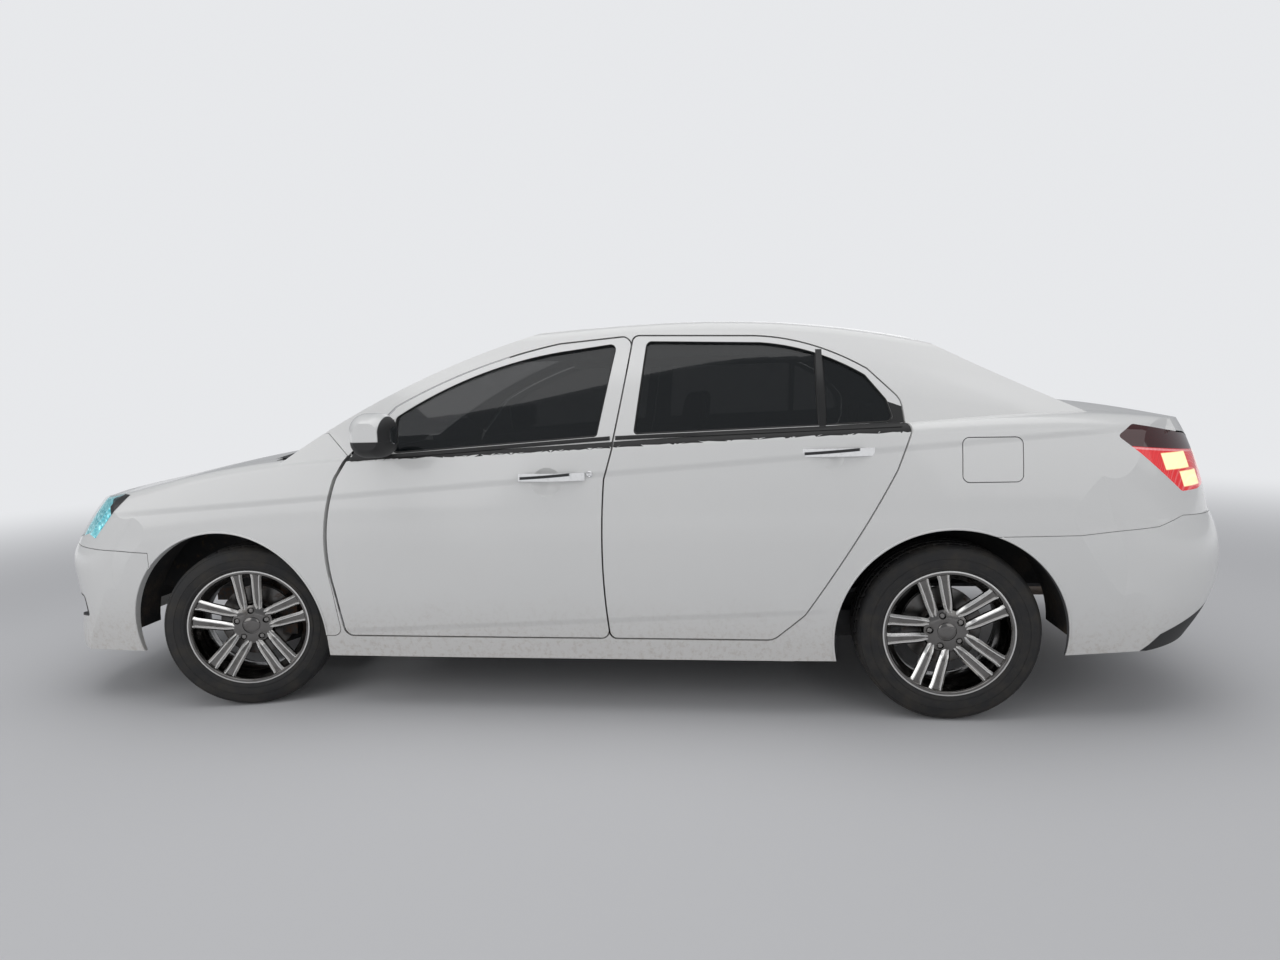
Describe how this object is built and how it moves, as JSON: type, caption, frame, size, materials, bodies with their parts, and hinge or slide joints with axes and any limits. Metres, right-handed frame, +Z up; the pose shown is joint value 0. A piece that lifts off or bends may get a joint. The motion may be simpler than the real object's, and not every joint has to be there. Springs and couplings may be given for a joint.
{
  "type": "compact four-door saloon car",
  "caption": "Compact saloon car with hollow cabin, opening doors, bonnet, boot lid and fuel flap, steered front wheels and rolling wheels.",
  "frame": {"origin": "on the ground under the centre of the car's bounding box", "axes": "+X towards the tail, +Y to the car's right side, +Z up"},
  "size_m": [4.6312, 2.184, 1.474],
  "materials": {
    "body_paint": "white gloss paint",
    "tyre_rubber": "black road tyre",
    "dark_chrome": "smoked bright finish",
    "cast_metal": "cast, lightly rusted",
    "dark_glass": "dark tinted",
    "clear_glass": "clear, faint tint",
    "chrome": "bright",
    "lamp_lens": "clear moulded lens",
    "lamp_body": "bright reflector",
    "tail_lens": "red lens",
    "black_plastic": "grained black",
    "seat_fabric": "dark cloth",
    "trim_plastic": "soft grain",
    "chassis_steel": "black chassis paint",
    "exhaust_steel": "dull, heat-stained",
    "underbody": "grey sealed underbody"
  },
  "bodies": {
    "car_body": {"body_side_left": "body_paint", "body_side_right": "body_paint", "bulkhead": "underbody", "cowl_panel": "black_plastic", "dashboard": "trim_plastic", "engine_block": "cast_metal", "exhaust": "exhaust_steel", "floor_pan": "underbody", "front_bumper": "body_paint", "front_frame": "underbody", "front_seats": "seat_fabric", "front_suspension": "chassis_steel", "front_wing_left": "body_paint", "front_wing_right": "body_paint", "fuel_tank": "black_plastic", "grille": "black_plastic", "headlamp_lenses": "lamp_lens", "headlamps": "lamp_body", "rear_axle": "chassis_steel", "rear_bumper": "body_paint", "rear_seat": "seat_fabric", "rear_window": "dark_glass", "roof_panel": "body_paint", "tail_lamps": "tail_lens", "wheel_liners": "black_plastic", "windscreen": "clear_glass"},
    "bonnet_lid": {"bonnet": "body_paint"},
    "boot_leaf": {"boot_lid": "body_paint"},
    "front_door_left_leaf": {"front_door_glass_left": "dark_glass", "front_door_handle_left": "chrome", "front_door_left": "body_paint", "mirror_left": "body_paint"},
    "front_door_right_leaf": {"front_door_glass_right": "dark_glass", "front_door_handle_right": "chrome", "front_door_right": "body_paint", "mirror_right": "body_paint"},
    "fuel_flap_leaf": {"fuel_flap": "body_paint"},
    "knuckle_left_hub": {"knuckle_left": "cast_metal"},
    "knuckle_right_hub": {"knuckle_right": "cast_metal"},
    "rear_door_left_leaf": {"rear_door_glass_left": "dark_glass", "rear_door_handle_left": "chrome", "rear_door_left": "body_paint"},
    "rear_door_right_leaf": {"rear_door_glass_right": "dark_glass", "rear_door_handle_right": "chrome", "rear_door_right": "body_paint"},
    "wheel_front_left": {"rim_front_left": "dark_chrome", "tyre_front_left": "tyre_rubber"},
    "wheel_front_right": {"rim_front_right": "dark_chrome", "tyre_front_right": "tyre_rubber"},
    "wheel_rear_left": {"rim_rear_left": "dark_chrome", "tyre_rear_left": "tyre_rubber"},
    "wheel_rear_right": {"rim_rear_right": "dark_chrome", "tyre_rear_right": "tyre_rubber"},
    "steering": {"steering_wheel": "trim_plastic"}
  },
  "joints": [
    {"name": "steer_left", "type": "hinge", "parent": "car_body", "child": "knuckle_left_hub", "pos_m": [-1.4375, -0.69, 0.206], "axis": [0, 0.2003, 0.9797], "range_deg": [-49, 19]},
    {"name": "roll_front_left", "type": "hinge", "parent": "knuckle_left_hub", "child": "wheel_front_left", "pos_m": [-1.4162, -0.74825, 0.31804], "axis": [-0.2536, 0.9673, 0.0067], "continuous": true},
    {"name": "roll_rear_left", "type": "hinge", "parent": "car_body", "child": "wheel_rear_left", "pos_m": [1.2395, -0.746, 0.318], "axis": [0, 1, 0], "continuous": true},
    {"name": "front_door_left_hinge", "type": "hinge", "parent": "car_body", "child": "front_door_left_leaf", "pos_m": [-1.0165, -0.893, 0.64], "axis": [0, 0, 1], "range_deg": [-66, 0]},
    {"name": "rear_door_left_hinge", "type": "hinge", "parent": "car_body", "child": "rear_door_left_leaf", "pos_m": [0.0325, -0.8945, 0.64], "axis": [0, 0, 1], "range_deg": [-66, 0]},
    {"name": "steer_right", "type": "hinge", "parent": "car_body", "child": "knuckle_right_hub", "pos_m": [-1.4375, 0.69, 0.206], "axis": [0, -0.2003, 0.9797], "range_deg": [-49, 19]},
    {"name": "roll_front_right", "type": "hinge", "parent": "knuckle_right_hub", "child": "wheel_front_right", "pos_m": [-1.4588, 0.74825, 0.31804], "axis": [-0.2536, 0.9673, -0.0067], "continuous": true},
    {"name": "roll_rear_right", "type": "hinge", "parent": "car_body", "child": "wheel_rear_right", "pos_m": [1.2395, 0.746, 0.318], "axis": [0, 1, 0], "continuous": true},
    {"name": "front_door_right_hinge", "type": "hinge", "parent": "car_body", "child": "front_door_right_leaf", "pos_m": [-1.0165, 0.893, 0.64], "axis": [0, 0, 1], "range_deg": [0, 66]},
    {"name": "rear_door_right_hinge", "type": "hinge", "parent": "car_body", "child": "rear_door_right_leaf", "pos_m": [0.0325, 0.8945, 0.64], "axis": [0, 0, 1], "range_deg": [0, 66]},
    {"name": "bonnet_hinge", "type": "hinge", "parent": "car_body", "child": "bonnet_lid", "pos_m": [-1.3145, 0, 0.985], "axis": [0, 1, 0], "range_deg": [0, 48]},
    {"name": "boot_hinge", "type": "hinge", "parent": "car_body", "child": "boot_leaf", "pos_m": [1.7075, 0, 1.118], "axis": [0, 1, 0], "range_deg": [-78, 0]},
    {"name": "fuel_flap_hinge", "type": "hinge", "parent": "car_body", "child": "fuel_flap_leaf", "pos_m": [1.2665, -0.881, 0.932], "axis": [0, 0, 1], "range_deg": [-88, 0]},
    {"name": "steering_wheel_turn", "type": "hinge", "parent": "car_body", "child": "steering", "pos_m": [-0.5725, -0.365, 0.812], "axis": [0.9157, 0, 0.4019], "range_deg": [-735, 285]}
  ],
  "couplings": [
    {"joint": "steer_right", "follows": "steer_left", "ratio": 1},
    {"joint": "steering_wheel_turn", "follows": "steer_left", "ratio": 15}
  ]
}
